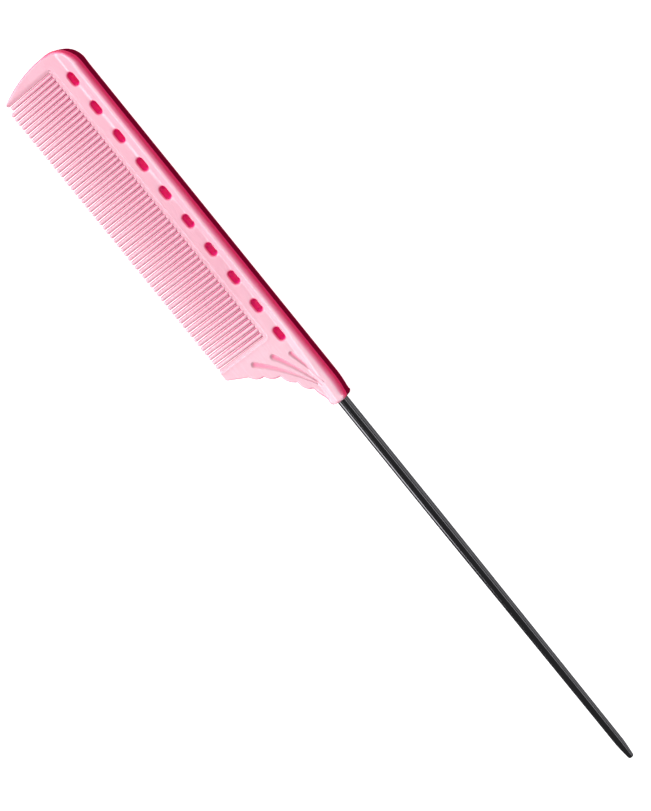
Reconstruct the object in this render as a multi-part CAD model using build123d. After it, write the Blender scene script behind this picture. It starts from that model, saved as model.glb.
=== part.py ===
from build123d import *
import os

# Rat tail comb: one moulded comb body with a steel pin moulded into its butt.
# The comb lies on its face. +X runs from the head to the pin's tip, +Y from the
# teeth to the back, and +Z is up through the thickness. The origin is the centre
# of the underside of the whole comb.
#
# Two measures place everything in plan: the distance from the head end, and the
# depth below the straight back edge.

# ---------------------------------------------------------------- driving dimensions, mm
OVERALL_LENGTH = 225.0
HEAD_DEPTH = 25.50            # back edge to tooth tips
BODY_LENGTH = 110.2           # head end to butt face
BODY_THICKNESS = 5.0          # across the bead along the back

# back bead and web, given as depth below the back and half thickness there
BACK_DRAFT = 0.12             # the two back facets meet in a low ridge at mid thickness
BEAD_CORNER_SIDE = 0.60
BEAD_CORNER_FACE = 0.75
BEAD_FOOT = 1.72
WEB_TOP = 3.83
WEB_HALF = 1.20
BORDER = 7.60                 # step from the web down to the tooth zone
BORDER_HALF = 1.12
STEP_HEIGHT = 0.14
STEP_RUN = 0.10

# teeth
ROOT_DEPTH = 8.75
TOOTH_COUNT = 59
FIRST_GAP = 4.0               # from the head end
FIRST_PITCH = 1.322
LAST_PITCH = 1.466
ROOT_GAP = 0.42
TIP_GAP = 0.60
TIP_HALF = 0.70
TIP_ROUND = 0.35
FIRST_TOOTH_SHORTER = 1.2

# outline of the head
HEAD_CORNER_LENGTH = 6.8      # quarter ellipse at the top corner
HEAD_CORNER_DEPTH = 7.8
GUARD_TIP_LENGTH = 2.85
GUARD_TIP_DEPTH = 24.7
GUARD_TIP_BULGE = 0.90

# measuring holes through the web
HOLE_COUNT = 10
FIRST_HOLE = 8.42
HOLE_PITCH = 8.81
HOLE_DEPTH = 4.0              # centre line, below the back
HOLE_LENGTH = 3.5
HOLE_HEIGHT = 2.3
HOLE_CHAMFER = 0.35

# heel, finger rest and butt
HEEL_TIP_LENGTH = 89.5
HEEL_TIP_DEPTH = 25.35
HEEL_TIP_HALF = 0.80
HEEL_WEB_HALF = 1.25
NOTCHES = [(92.2, 19.6), (94.4, 16.0), (96.7, 12.2), (100.3, 9.5), (103.9, 7.2)]
BUMP_HEIGHT = 0.45
SOCKET_START = 91.0           # where the tail socket follows on from the spine
BACK_DIP_START = 102.5
BACK_DIP = 0.60
BUTT_LOW_DEPTH = 5.95
BUTT_BEAD_FOOT = 3.40
BUTT_WEB_HALF = 1.60
BUTT_ROUND = 0.60

# flutes pressed into both faces of the heel: start, middle and end of each
FLUTES = [
    [(90.3, 16.1), (95.6, 10.4), (102.1, 5.1)],
    [(91.4, 10.3), (97.2, 7.0), (103.1, 4.2)],
    [(93.6, 5.6), (98.0, 4.3), (102.8, 2.7)],
]
FLUTE_START_WIDTH = 1.2
FLUTE_END_WIDTH = 0.3
FLUTE_DEPTH = 0.30
FLUTE_STEPS = 8

# steel pin
PIN_DIAMETER = 2.95
PIN_AXIS_DEPTH = 3.1
PIN_ROOT_LENGTH = 13.8        # held inside the socket, turned down behind a shoulder
PIN_ROOT_DIAMETER = 2.10
PIN_STRAIGHT_LENGTH = 38.0    # constant diameter, outside the butt
PIN_END_DIAMETER = 2.35
PIN_CONE_LENGTH = 5.1
PIN_TIP_DIAMETER = 1.60
PIN_TIP_ROUND = 0.40
KEY_GROOVES = 3               # ring grooves that lock the root in the plastic
KEY_GROOVE_WIDTH = 1.2
KEY_GROOVE_DEPTH = 0.20
KEY_GROOVE_PITCH = 3.4
KEY_GROOVE_START = 2.2

# ---------------------------------------------------------------- worked out from them
HALF = BODY_THICKNESS / 2
HEAD_X = -OVERALL_LENGTH / 2
BACK_Y = HEAD_DEPTH / 2
MID_Z = HALF
BELOW_TIPS = HEAD_DEPTH + 2.0
GAP_COUNT = TOOTH_COUNT + 1
PITCH_GROWTH = (LAST_PITCH - FIRST_PITCH) / (TOOTH_COUNT - 1)


def plan(length, depth):
    """A point in plan, from its distance along the comb and its depth below the back."""
    return (HEAD_X + length, BACK_Y - depth)


def gap_centre(index):
    """Distance from the head end to the middle of a gap between teeth."""
    return FIRST_GAP + FIRST_PITCH * index + PITCH_GROWTH * index * (index - 1) / 2


HEAD_GUARD_INNER = gap_centre(0) - ROOT_GAP / 2
HEEL_GUARD_INNER = gap_centre(GAP_COUNT - 1) + ROOT_GAP / 2


def section(length, half_profile):
    """A cross-section face at a distance along the comb, the same above and below."""
    x = HEAD_X + length
    upper = [Vector(x, BACK_Y - d, MID_Z + h) for d, h in half_profile]
    lower = [Vector(x, BACK_Y - d, MID_Z - h) for d, h in reversed(half_profile) if h > 0]
    return make_face(Polyline(*upper, *lower, close=True))


def prism(outline):
    """The closed plan outline carried through more than the whole thickness."""
    low = -1.0
    return extrude(Pos(0, 0, low) * make_face(outline), BODY_THICKNESS - 2 * low, dir=(0, 0, 1))


BEAD = [
    (0.0, 0.0),
    (BACK_DRAFT, HALF - BEAD_CORNER_SIDE),
    (BEAD_CORNER_FACE, HALF),
    (BEAD_FOOT, HALF),
]


def bar(start, end, start_profile, end_profile):
    """A straight bar between two cross-sections."""
    return loft([section(start, start_profile), section(end, end_profile)], ruled=True)


# ---------------------------------------------------------------- blanks with the thickness
web_profile = BEAD + [
    (WEB_TOP, WEB_HALF),
    (BORDER, BORDER_HALF),
    (BORDER + STEP_RUN, BORDER_HALF - STEP_HEIGHT),
    (ROOT_DEPTH + STEP_RUN, BORDER_HALF - STEP_HEIGHT),
]
tooth_profile = [
    (ROOT_DEPTH - STEP_RUN, BORDER_HALF - STEP_HEIGHT),
    (HEAD_DEPTH, TIP_HALF),
    (BELOW_TIPS, TIP_HALF),
]
guard_profile = [
    (ROOT_DEPTH - STEP_RUN, BORDER_HALF),
    (HEAD_DEPTH, HEEL_TIP_HALF),
    (BELOW_TIPS, HEEL_TIP_HALF),
]
heel_profile = BEAD + [(WEB_TOP, HEEL_WEB_HALF), (BELOW_TIPS, HEEL_TIP_HALF)]
butt_profile = BEAD[:-1] + [
    (BUTT_BEAD_FOOT, HALF),
    (BUTT_LOW_DEPTH, BUTT_WEB_HALF),
    (BELOW_TIPS, HEEL_WEB_HALF),
]


def thinner(profile, amount):
    """The same profile pulled in on both faces."""
    return [(d, max(h - amount, 0.0)) for d, h in profile]


spine_bar = bar(0, SOCKET_START, web_profile, web_profile)
tooth_bar = bar(0, SOCKET_START, tooth_profile, tooth_profile)
guard_bar = bar(0, SOCKET_START, guard_profile, guard_profile)
heel_bar = bar(HEEL_GUARD_INNER, BODY_LENGTH, heel_profile, butt_profile)
flute_floor = bar(
    HEEL_GUARD_INNER - 1.0,
    BODY_LENGTH,
    thinner(heel_profile, FLUTE_DEPTH),
    thinner(butt_profile, FLUTE_DEPTH),
)


# ---------------------------------------------------------------- plan outlines
def head_edge():
    """The rounded head corner and the long curved edge down to the guard's tip."""
    corner = EllipticalCenterArc(
        plan(HEAD_CORNER_LENGTH, HEAD_CORNER_DEPTH),
        HEAD_CORNER_LENGTH,
        HEAD_CORNER_DEPTH,
        start_angle=90,
        arc_size=90,
    )
    edge = SagittaArc(
        plan(0, HEAD_CORNER_DEPTH),
        plan(GUARD_TIP_LENGTH, GUARD_TIP_DEPTH),
        -GUARD_TIP_BULGE,
    )
    return [corner, edge]


def head_outline():
    """Everything on the comb's side of the head edge, as far as the spine's end."""
    lines = head_edge()
    lines.append(
        Polyline(
            plan(GUARD_TIP_LENGTH, GUARD_TIP_DEPTH),
            plan(GUARD_TIP_LENGTH + TIP_ROUND, GUARD_TIP_DEPTH + TIP_ROUND / 2),
            plan(HEAD_GUARD_INNER - TIP_ROUND / 2, GUARD_TIP_DEPTH + TIP_ROUND / 2),
            plan(HEAD_GUARD_INNER, GUARD_TIP_DEPTH - TIP_ROUND / 2),
            plan(HEAD_GUARD_INNER, ROOT_DEPTH),
            plan(SOCKET_START, ROOT_DEPTH),
            plan(SOCKET_START, -1.0),
            plan(HEAD_CORNER_LENGTH, -1.0),
            plan(HEAD_CORNER_LENGTH, 0),
        )
    )
    return Wire(Curve() + lines)


def heel_outline():
    """The heel guard, the bumps of the finger rest, and the butt with its dipped back."""
    tip_end = plan(HEEL_TIP_LENGTH - TIP_ROUND, HEEL_TIP_DEPTH)
    lines = [
        Polyline(
            plan(SOCKET_START, 0),
            plan(HEEL_GUARD_INNER, 0),
            plan(HEEL_GUARD_INNER, HEEL_TIP_DEPTH - 2 * TIP_ROUND),
            plan(HEEL_GUARD_INNER + TIP_ROUND, HEEL_TIP_DEPTH),
            tip_end,
            plan(*NOTCHES[0]),
        )
    ]
    for start, end in zip(NOTCHES, NOTCHES[1:]):
        lines.append(SagittaArc(plan(*start), plan(*end), -BUMP_HEIGHT))
    lines.append(
        Polyline(
            plan(*NOTCHES[-1]),
            plan(BODY_LENGTH - 4 * BUTT_ROUND, BUTT_LOW_DEPTH),
            plan(BODY_LENGTH - BUTT_ROUND, BUTT_LOW_DEPTH),
            plan(BODY_LENGTH, BUTT_LOW_DEPTH - BUTT_ROUND),
            plan(BODY_LENGTH, BACK_DIP + BUTT_ROUND),
            plan(BODY_LENGTH - BUTT_ROUND, BACK_DIP),
        )
    )
    lines.append(
        SagittaArc(plan(BODY_LENGTH - BUTT_ROUND, BACK_DIP), plan(BACK_DIP_START, 0), -BACK_DIP / 4)
    )
    lines.append(Line(plan(BACK_DIP_START, 0), plan(SOCKET_START, 0)))
    return Wire(Curve() + lines)


def region(start, end, upper, lower):
    """A plain rectangular block between two lengths and two depths."""
    corners = [plan(start, upper), plan(end, upper), plan(end, lower), plan(start, lower)]
    return prism(Polyline(*corners, close=True))


# ---------------------------------------------------------------- steel pin
def make_pin():
    """The pin turned about its axis: keyed root, straight shaft, long taper, blunt tip."""
    radius = PIN_DIAMETER / 2
    root_radius = PIN_ROOT_DIAMETER / 2
    butt = BODY_LENGTH
    root = butt - PIN_ROOT_LENGTH
    cone = OVERALL_LENGTH - PIN_CONE_LENGTH
    points = [(root, 0), (root, root_radius)]
    for index in range(KEY_GROOVES):
        start = root + KEY_GROOVE_START + index * KEY_GROOVE_PITCH
        end = start + KEY_GROOVE_WIDTH
        points += [(start, root_radius), (start, root_radius - KEY_GROOVE_DEPTH)]
        points += [(end, root_radius - KEY_GROOVE_DEPTH), (end, root_radius)]
    points += [
        (butt, root_radius),
        (butt, radius),
        (butt + PIN_STRAIGHT_LENGTH, radius),
        (cone, PIN_END_DIAMETER / 2),
        (OVERALL_LENGTH - PIN_TIP_ROUND, PIN_TIP_DIAMETER / 2),
        (OVERALL_LENGTH, PIN_TIP_DIAMETER / 2 - PIN_TIP_ROUND),
        (OVERALL_LENGTH, 0),
    ]
    blank = revolve(make_face(Polyline(*points, close=True)), Axis.X)
    return Pos(HEAD_X, BACK_Y - PIN_AXIS_DEPTH, MID_Z) * blank


# ---------------------------------------------------------------- cutters
def hole_cutter(index):
    """One oval hole with a chamfered rim on each face."""
    x, y = plan(FIRST_HOLE + index * HOLE_PITCH, HOLE_DEPTH)
    centre = Pos(x, y, MID_Z)
    bore = extrude(SlotOverall(HOLE_LENGTH, HOLE_HEIGHT), BODY_THICKNESS, both=True)
    rim_size = (HOLE_LENGTH + 2 * HOLE_CHAMFER, HOLE_HEIGHT + 2 * HOLE_CHAMFER)
    rim = extrude(SlotOverall(*rim_size), -2 * HOLE_CHAMFER, taper=45 / 2)
    rim += extrude(SlotOverall(*rim_size), HALF)
    upper = Pos(0, 0, WEB_HALF) * rim
    return centre * (bore + upper + mirror(upper, about=Plane.XY))


def flute_cutter(points):
    """A tapering flute that follows an arc, cut as deep as the floor allows."""
    start, middle, end = [plan(*point) for point in points]
    line = ThreePointArc(start, middle, end)
    left = []
    right = []
    for step in range(FLUTE_STEPS + 1):
        along = step / FLUTE_STEPS
        width = FLUTE_START_WIDTH + (FLUTE_END_WIDTH - FLUTE_START_WIDTH) * along
        point = line @ along
        tangent = line % along
        side = Vector(-tangent.Y, tangent.X) * (width / 2)
        left.append(point + side)
        right.append(point - side)
    strip = make_face(Polyline(*left, *reversed(right), close=True))
    cap = Pos(*start) * Circle(FLUTE_START_WIDTH / 2)
    return extrude(Pos(0, 0, -1.0) * (strip + cap), BODY_THICKNESS + 2.0, dir=(0, 0, 1))


# ---------------------------------------------------------------- the pieces
def make_tooth(index):
    """One fine tooth between two gaps, narrowing a little to a blunt tip."""
    left = gap_centre(index)
    right = gap_centre(index + 1)
    centre = (left + right) / 2
    root_half = (right - left - ROOT_GAP) / 2
    tip_half = (right - left - TIP_GAP) / 2
    tip_depth = HEAD_DEPTH - (FIRST_TOOTH_SHORTER if index == 0 else 0)
    outline = Polyline(
        plan(centre - root_half, ROOT_DEPTH),
        plan(centre - tip_half, tip_depth - TIP_ROUND),
        plan(centre - tip_half / 2, tip_depth),
        plan(centre + tip_half / 2, tip_depth),
        plan(centre + tip_half, tip_depth - TIP_ROUND),
        plan(centre + root_half, ROOT_DEPTH),
        close=True,
    )
    return (prism(outline) & tooth_bar).solid()


pin = make_pin()
head_plan = prism(head_outline())
heel_plan = prism(heel_outline())
above_root = region(-1, SOCKET_START, -1, ROOT_DEPTH)

spine = spine_bar & head_plan & above_root
for hole in range(HOLE_COUNT):
    spine -= hole_cutter(hole)

head_guard = guard_bar & head_plan & region(-1, HEAD_GUARD_INNER, ROOT_DEPTH, BELOW_TIPS)

heel_blank = heel_bar & heel_plan
for flute in FLUTES:
    heel_blank -= flute_cutter(flute) - flute_floor
heel_guard = heel_blank & region(HEEL_GUARD_INNER, BODY_LENGTH, ROOT_DEPTH, BELOW_TIPS)
tail_socket = heel_blank & region(SOCKET_START, BODY_LENGTH + 1, -1, ROOT_DEPTH)
tail_socket -= pin

teeth = Compound([make_tooth(index) for index in range(TOOTH_COUNT)])

nodes = {
    "spine": spine,
    "fine_teeth": teeth,
    "head_guard": head_guard,
    "heel_guard": heel_guard,
    "tail_socket": tail_socket,
    "tail_pin": pin,
}

os.makedirs("parts", exist_ok=True)
for name, shape in nodes.items():
    export_step(shape, f"parts/{name}.step")
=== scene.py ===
"""Looks of a rat tail comb: a glossy moulded comb body, its fine teeth and its steel pin.

Lengths are written in millimetres in plan terms, the distance from the head end and the depth
below the straight back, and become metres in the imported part's own frame: +X from the head to
the pin's tip, +Y from the teeth to the back, +Z up through the thickness.
"""

import logging
import math
from dataclasses import dataclass, field
from enum import Enum
from typing import Any

import bmesh
import bpy
import numpy as np
from mathutils import Matrix, Vector
from mathutils.geometry import delaunay_2d_cdt


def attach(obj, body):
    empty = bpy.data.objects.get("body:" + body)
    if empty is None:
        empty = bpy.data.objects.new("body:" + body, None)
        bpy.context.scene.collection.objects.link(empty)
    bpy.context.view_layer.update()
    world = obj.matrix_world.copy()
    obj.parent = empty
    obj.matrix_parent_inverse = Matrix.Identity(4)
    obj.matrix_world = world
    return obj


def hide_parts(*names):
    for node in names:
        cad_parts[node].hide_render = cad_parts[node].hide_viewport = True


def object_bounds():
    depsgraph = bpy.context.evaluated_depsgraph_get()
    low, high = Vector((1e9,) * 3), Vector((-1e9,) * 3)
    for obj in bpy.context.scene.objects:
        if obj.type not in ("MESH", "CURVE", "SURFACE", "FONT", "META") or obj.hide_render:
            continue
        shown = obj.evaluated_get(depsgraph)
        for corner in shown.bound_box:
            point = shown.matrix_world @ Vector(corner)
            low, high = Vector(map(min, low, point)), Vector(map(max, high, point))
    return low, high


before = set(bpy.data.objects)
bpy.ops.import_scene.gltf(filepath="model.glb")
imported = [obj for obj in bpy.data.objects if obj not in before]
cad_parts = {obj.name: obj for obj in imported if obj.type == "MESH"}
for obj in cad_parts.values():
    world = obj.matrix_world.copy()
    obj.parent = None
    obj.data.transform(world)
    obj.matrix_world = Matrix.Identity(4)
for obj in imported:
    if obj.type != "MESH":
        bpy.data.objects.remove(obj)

log = logging.getLogger("comb")

MM = 0.001
BODY = "root"
CAD_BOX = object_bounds()


# ---------------------------------------------------------------------------- node graphs
class Term:
    """A node socket that adds Math nodes to its graph when it is used in an expression."""

    def __init__(self, graph: "Graph", socket: bpy.types.NodeSocket) -> None:
        """Wraps a socket of the graph."""
        self.graph = graph
        self.socket = socket

    def _math(self, operation: str, *values: Any) -> "Term":
        """Adds one Math node.

        Args:
            operation: The Math node's operation.
            values: Its inputs in order, as numbers or terms.

        Returns:
            The node's result.
        """
        node = self.graph.add("ShaderNodeMath", {"operation": operation}, dict(enumerate(values)))
        return Term(self.graph, node.outputs[0])

    def __add__(self, other: Any) -> "Term":
        """self + other."""
        return self._math("ADD", self, other)

    def __radd__(self, other: Any) -> "Term":
        """other + self."""
        return self._math("ADD", other, self)

    def __sub__(self, other: Any) -> "Term":
        """self - other."""
        return self._math("SUBTRACT", self, other)

    def __rsub__(self, other: Any) -> "Term":
        """other - self."""
        return self._math("SUBTRACT", other, self)

    def __mul__(self, other: Any) -> "Term":
        """self * other."""
        return self._math("MULTIPLY", self, other)

    def __rmul__(self, other: Any) -> "Term":
        """other * self."""
        return self._math("MULTIPLY", other, self)

    def __truediv__(self, other: Any) -> "Term":
        """self / other."""
        return self._math("DIVIDE", self, other)

    def __rtruediv__(self, other: Any) -> "Term":
        """other / self."""
        return self._math("DIVIDE", other, self)

    def __pow__(self, other: Any) -> "Term":
        """self ** other."""
        return self._math("POWER", self, other)

    def __abs__(self) -> "Term":
        """abs(self)."""
        return self._math("ABSOLUTE", self)

    def least(self, other: Any) -> "Term":
        """The smaller of the two."""
        return self._math("MINIMUM", self, other)

    def most(self, other: Any) -> "Term":
        """The larger of the two."""
        return self._math("MAXIMUM", self, other)

    def unit(self) -> "Term":
        """Held between 0 and 1."""
        return self.most(0.0).least(1.0)

    def equals(self, other: float) -> "Term":
        """1 where the values agree, else 0."""
        return self._math("COMPARE", self, other, 0.5)

    def ramp(self, low: float, high: float) -> "Term":
        """A smooth step from 0 at low to 1 at high.

        Args:
            low: Value at which the step starts.
            high: Value at which it ends, below low for a falling step.

        Returns:
            The step, between 0 and 1.
        """
        along = ((self - low) / (high - low)).unit()
        return along * along * (3.0 - 2.0 * along)


class Graph:
    """A shader or geometry node tree that is written from the top down."""

    def __init__(self, tree: bpy.types.NodeTree) -> None:
        """Empties the tree and keeps it."""
        self.tree = tree
        tree.nodes.clear()

    def add(
        self,
        kind: str,
        settings: dict[str, Any] | None = None,
        inputs: dict[Any, Any] | None = None,
    ) -> bpy.types.Node:
        """Adds one node.

        Args:
            kind: The node's type.
            settings: Properties of the node, set before its sockets. A color ramp takes "stops".
            inputs: Values, terms or sockets for its inputs, by name or by position.

        Returns:
            The new node.
        """
        node = self.tree.nodes.new(kind)
        for name, value in (settings or {}).items():
            if name == "stops":
                self._set_stops(node.color_ramp, value)
            else:
                setattr(node, name, value)
        for key, value in (inputs or {}).items():
            self.feed(node.inputs[key], value)
        return node

    def feed(self, target: bpy.types.NodeSocket, value: Any) -> None:
        """Sets or links one input socket.

        Args:
            target: The socket to fill.
            value: A number, colour, data block, socket or term.
        """
        if isinstance(value, Term):
            value = value.socket
        if isinstance(value, bpy.types.NodeSocket):
            self.tree.links.new(value, target)
        else:
            target.default_value = value

    def term(self, node: bpy.types.Node, output: Any = 0) -> Term:
        """One output of a node as a term."""
        return Term(self, node.outputs[output])

    @staticmethod
    def _set_stops(ramp: bpy.types.ColorRamp, stops: list[tuple[float, tuple]]) -> None:
        """Gives a color ramp its stops.

        Args:
            ramp: The ramp to change.
            stops: Place and colour of each stop, in order.
        """
        while len(ramp.elements) > len(stops):
            ramp.elements.remove(ramp.elements[-1])
        while len(ramp.elements) < len(stops):
            ramp.elements.new(1.0)
        for element, (place, colour) in zip(ramp.elements, stops):
            element.position = place
            element.color = colour


class ShaderGraph(Graph):
    """A material's node tree."""

    def __init__(self, material: bpy.types.Material) -> None:
        """Starts an empty tree in the material."""
        material.use_nodes = True
        super().__init__(material.node_tree)

    def coordinates(self) -> tuple[bpy.types.NodeSocket, Term, Term, Term]:
        """The object's own coordinates.

        Returns:
            The coordinate socket, its X and Y, and the Z of the surface's normal.
        """
        place = self.add("ShaderNodeTexCoord")
        split = self.add("ShaderNodeSeparateXYZ", inputs={0: place.outputs["Object"]})
        normal = self.add("ShaderNodeSeparateXYZ", inputs={0: place.outputs["Normal"]})
        x, y = self.term(split, 0), self.term(split, 1)
        return place.outputs["Object"], x, y, self.term(normal, 2)

    def noise(
        self,
        place: bpy.types.NodeSocket,
        size: float,
        detail: float = 2.0,
        stretch: tuple[float, float, float] = (1.0, 1.0, 1.0),
    ) -> Term:
        """Noise on the object's coordinates.

        Args:
            place: The coordinate socket.
            size: Size of one blotch, in metres.
            detail: Octaves of finer noise.
            stretch: Factors that lengthen the blotches along each axis.

        Returns:
            The noise, around 0.5.
        """
        scale = tuple(1.0 / (size * factor) for factor in stretch)
        mapped = self.add("ShaderNodeMapping", inputs={"Vector": place, "Scale": scale})
        settings = {"noise_dimensions": "3D"}
        inputs = {"Vector": mapped.outputs[0], "Scale": 1.0, "Detail": detail}
        return self.term(self.add("ShaderNodeTexNoise", settings, inputs), "Fac")

    def mix(self, factor: Any, first: Any, second: Any) -> bpy.types.NodeSocket:
        """Mixes two colours.

        Args:
            factor: 0 for the first, 1 for the second.
            first: Colour or socket.
            second: Colour or socket.

        Returns:
            The mixed colour.
        """
        inputs = {0: factor, 6: first, 7: second}
        node = self.add("ShaderNodeMix", {"data_type": "RGBA", "clamp_factor": True}, inputs)
        return node.outputs[2]

    def surface(self, sockets: dict[str, Any]) -> None:
        """Ends the tree in a Principled surface with these inputs."""
        shader = self.add("ShaderNodeBsdfPrincipled", inputs=sockets)
        self.add("ShaderNodeOutputMaterial", inputs={"Surface": shader.outputs[0]})

    def bump(self, height: Term, depth: float, strength: float) -> bpy.types.NodeSocket:
        """A bump that turns the normal.

        Args:
            height: The height pattern, 0 to 1.
            depth: Depth of the pattern, in metres.
            strength: How much of it shows.

        Returns:
            The bumped normal.
        """
        inputs = {"Height": height, "Distance": depth, "Strength": strength}
        return self.add("ShaderNodeBump", inputs=inputs).outputs["Normal"]


# ---------------------------------------------------------------------------- finishes
Colour = tuple[float, float, float, float]


Stops = tuple[tuple[float, Colour], ...]


# A deepen ramp that puts the whole surface into its painted shade colour.
FULL_PAINTED_SHADE = (-0.2, -0.1)  # a ramp that even an untinted place is past


class PaintedShadeSource(Enum):
    """Where a plastic takes its painted shade from: a painted attribute, or the steepness of its
    surface.
    """

    PAINTED = "edge_tint"
    SLOPE = "slope"


@dataclass(frozen=True)
class CombPlastic:
    """Translucent pink moulding plastic: pale where it is flat, deep red towards its edges.

    The broad faces are pale; towards the edges the colour is painted shade over the plastic's own
    pink: hot pink on the rounded corners, crimson on the edge walls. Below 0 it paints a highlight.
    """

    name: str
    source: PaintedShadeSource = PaintedShadeSource.PAINTED
    face: Colour = (0.81, 0.41, 0.51, 1.0)
    pale: Colour = (0.88, 0.55, 0.64, 1.0)
    # Painted shade colours, from the pale face out to the crimson of an edge wall.
    depths: Stops = (
        (0.30, (0.85, 0.47, 0.56, 1.0)),
        (0.50, (0.88, 0.34, 0.47, 1.0)),
        (0.66, (0.90, 0.23, 0.385, 1.0)),
        (0.80, (0.89, 0.15, 0.300, 1.0)),
        (0.90, (0.82, 0.075, 0.20, 1.0)),
        (0.97, (0.66, 0.014, 0.100, 1.0)),
    )
    deepen: tuple[float, float] = (0.12, 0.42)
    pale_from: tuple[float, float] = (-0.045, -0.020)
    tips: tuple[float, float] = (-0.002, 0.0125)
    tip_fade: float = 0.0
    roughness: float = 0.27
    grain: float = 0.0005
    gloss: float = 0.42
    coat: float = 0.08
    glow_through: float = 0.12

    def material(self) -> bpy.types.Material:
        """Builds the material.

        Returns:
            The finished material.
        """
        made = bpy.data.materials.new(self.name)
        graph = ShaderGraph(made)
        place, x, y, up = graph.coordinates()
        clouds = graph.noise(place, 6 * MM, 3.0, (2.0, 1.0, 1.0))
        flow = graph.noise(place, 0.9 * MM, 2.0, (6.0, 1.0, 1.0))
        fine = graph.noise(place, self.grain, 3.0)
        tips = (y * -1.0).ramp(*self.tips)
        tint = self._tint(graph, up) * (1.0 - tips * self.tip_fade)
        light = x.ramp(*self.pale_from) * 0.8 + (clouds - 0.5) * 0.6
        # Below 0 the painted shade becomes a painted highlight that turns the face pale; with tip_fade
        # the face also turns paler towards the tips.
        light = light + (tint * -1.0).most(0.0) + tips * self.tip_fade
        face = graph.mix(light.unit(), self.face, self.pale)
        # The ramp's deep reds are the painted shade colours.
        deep = graph.add("ShaderNodeValToRGB", {"stops": list(self.depths)}, {0: tint})
        graph.surface(
            {
                "Base Color": graph.mix(tint.ramp(*self.deepen), face, deep.outputs[0]),
                "Roughness": self.roughness + (clouds - 0.5) * 0.12 + (flow - 0.5) * 0.08,
                "Normal": graph.bump(fine * 0.6 + flow * 0.4, 0.02 * MM, 0.35),
                "IOR": 1.49,
                "Specular IOR Level": self.gloss,
                "Coat Weight": self.coat,
                "Coat Roughness": 0.12,
                "Subsurface Weight": self.glow_through,
                "Subsurface Scale": 1.2 * MM,
                "Subsurface Radius": (1.0, 0.35, 0.45),
            }
        )
        return made

    def _tint(self, graph: ShaderGraph, up: Term) -> Term:
        """How much painted shade the colour takes: 0 on a flat face, 1 on an edge wall, below 0 for a
        painted highlight on a pale crest.

        Args:
            graph: The material's node graph.
            up: The Z of the surface's normal.

        Returns:
            The painted shade, below 0 for a painted highlight.
        """
        # On the teeth the painted shade follows the steepness of the surface, deepest on the sides
        # facing the gaps.
        if self.source is PaintedShadeSource.SLOPE:
            return 1.0 - abs(up)
        node = graph.add("ShaderNodeAttribute", {"attribute_name": self.source.value})
        return graph.term(node, "Fac")


@dataclass(frozen=True)
class PolishedSteel:
    """Dark polished steel with fine marks from drawing and lapping along its length."""

    name: str
    dark: Colour = (0.060, 0.059, 0.064, 1.0)
    light: Colour = (0.090, 0.089, 0.094, 1.0)
    roughness: float = 0.12

    def material(self) -> bpy.types.Material:
        """Builds the material.

        Returns:
            The finished material.
        """
        made = bpy.data.materials.new(self.name)
        graph = ShaderGraph(made)
        place, _, _, _ = graph.coordinates()
        drawn = graph.noise(place, 0.12 * MM, 3.0, (60.0, 1.0, 1.0))
        smudge = graph.noise(place, 7 * MM, 2.0, (2.0, 1.0, 1.0))
        graph.surface(
            {
                "Base Color": graph.mix(drawn * 0.6 + smudge * 0.4, self.dark, self.light),
                "Metallic": 1.0,
                "Roughness": self.roughness + (drawn - 0.5) * 0.12 + (smudge - 0.5) * 0.10,
                "Normal": graph.bump(drawn, 0.004 * MM, 0.25),
                "Specular Tint": (0.40, 0.40, 0.41, 1.0),
            }
        )
        return made


@dataclass(frozen=True)
class PaleFloor:
    """A plain matt white floor that glows faintly, like a light table."""

    name: str
    colour: Colour = (0.45, 0.45, 0.45, 1.0)
    glow: float = 0.95

    def material(self) -> bpy.types.Material:
        """Builds the material.

        Returns:
            The finished material.
        """
        made = bpy.data.materials.new(self.name)
        graph = ShaderGraph(made)
        graph.surface(
            {
                "Base Color": self.colour,
                "Roughness": 0.9,
                "Emission Color": (1.0, 1.0, 1.0, 1.0),
                "Emission Strength": self.glow,
            }
        )
        return made


# ---------------------------------------------------------------------------- plan of the comb
@dataclass
class CombPlan:
    """Sizes that the comb's pieces share, in millimetres, and the way to the frame."""

    teeth: int = 59
    first_gap: float = 4.0
    first_pitch: float = 1.322
    last_pitch: float = 1.466
    root_gap: float = 0.14
    root_depth: float = 9.05
    body_length: float = 110.2
    pin_depth: float = 3.1
    head: float = field(init=False)
    back: float = field(init=False)
    middle: float = field(init=False)
    depth: float = field(init=False)
    length: float = field(init=False)
    half: float = field(init=False)

    def __post_init__(self) -> None:
        """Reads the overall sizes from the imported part."""
        low, high = CAD_BOX
        self.head = low.x / MM
        self.back = high.y / MM
        self.length = (high.x - low.x) / MM
        self.depth = (high.y - low.y) / MM
        self.half = (high.z - low.z) / MM / 2
        self.middle = (high.z + low.z) / MM / 2

    @property
    def growth(self) -> float:
        """How much each pitch is wider than the one before."""
        return (self.last_pitch - self.first_pitch) / (self.teeth - 1)

    def gap(self, index: int) -> float:
        """Distance from the head end to the middle of a gap between teeth."""
        return self.first_gap + self.first_pitch * index + self.growth * index * (index - 1) / 2

    @property
    def head_guard_side(self) -> float:
        """Where the head guard's inner side stands."""
        return self.gap(0) - self.root_gap / 2

    @property
    def heel_guard_side(self) -> float:
        """Where the heel guard's inner side stands."""
        return self.gap(self.teeth) + self.root_gap / 2

    def to_frame(self, points: np.ndarray, heights: np.ndarray) -> np.ndarray:
        """Plan points to metres in the frame.

        Args:
            points: Length and depth of each point, in millimetres.
            heights: Height of each above the mid plane, in millimetres.

        Returns:
            One row of X, Y and Z for each point.
        """
        x = self.head + points[:, 0]
        y = self.back - points[:, 1]
        return np.column_stack([x, y, self.middle + heights]) * MM


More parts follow.
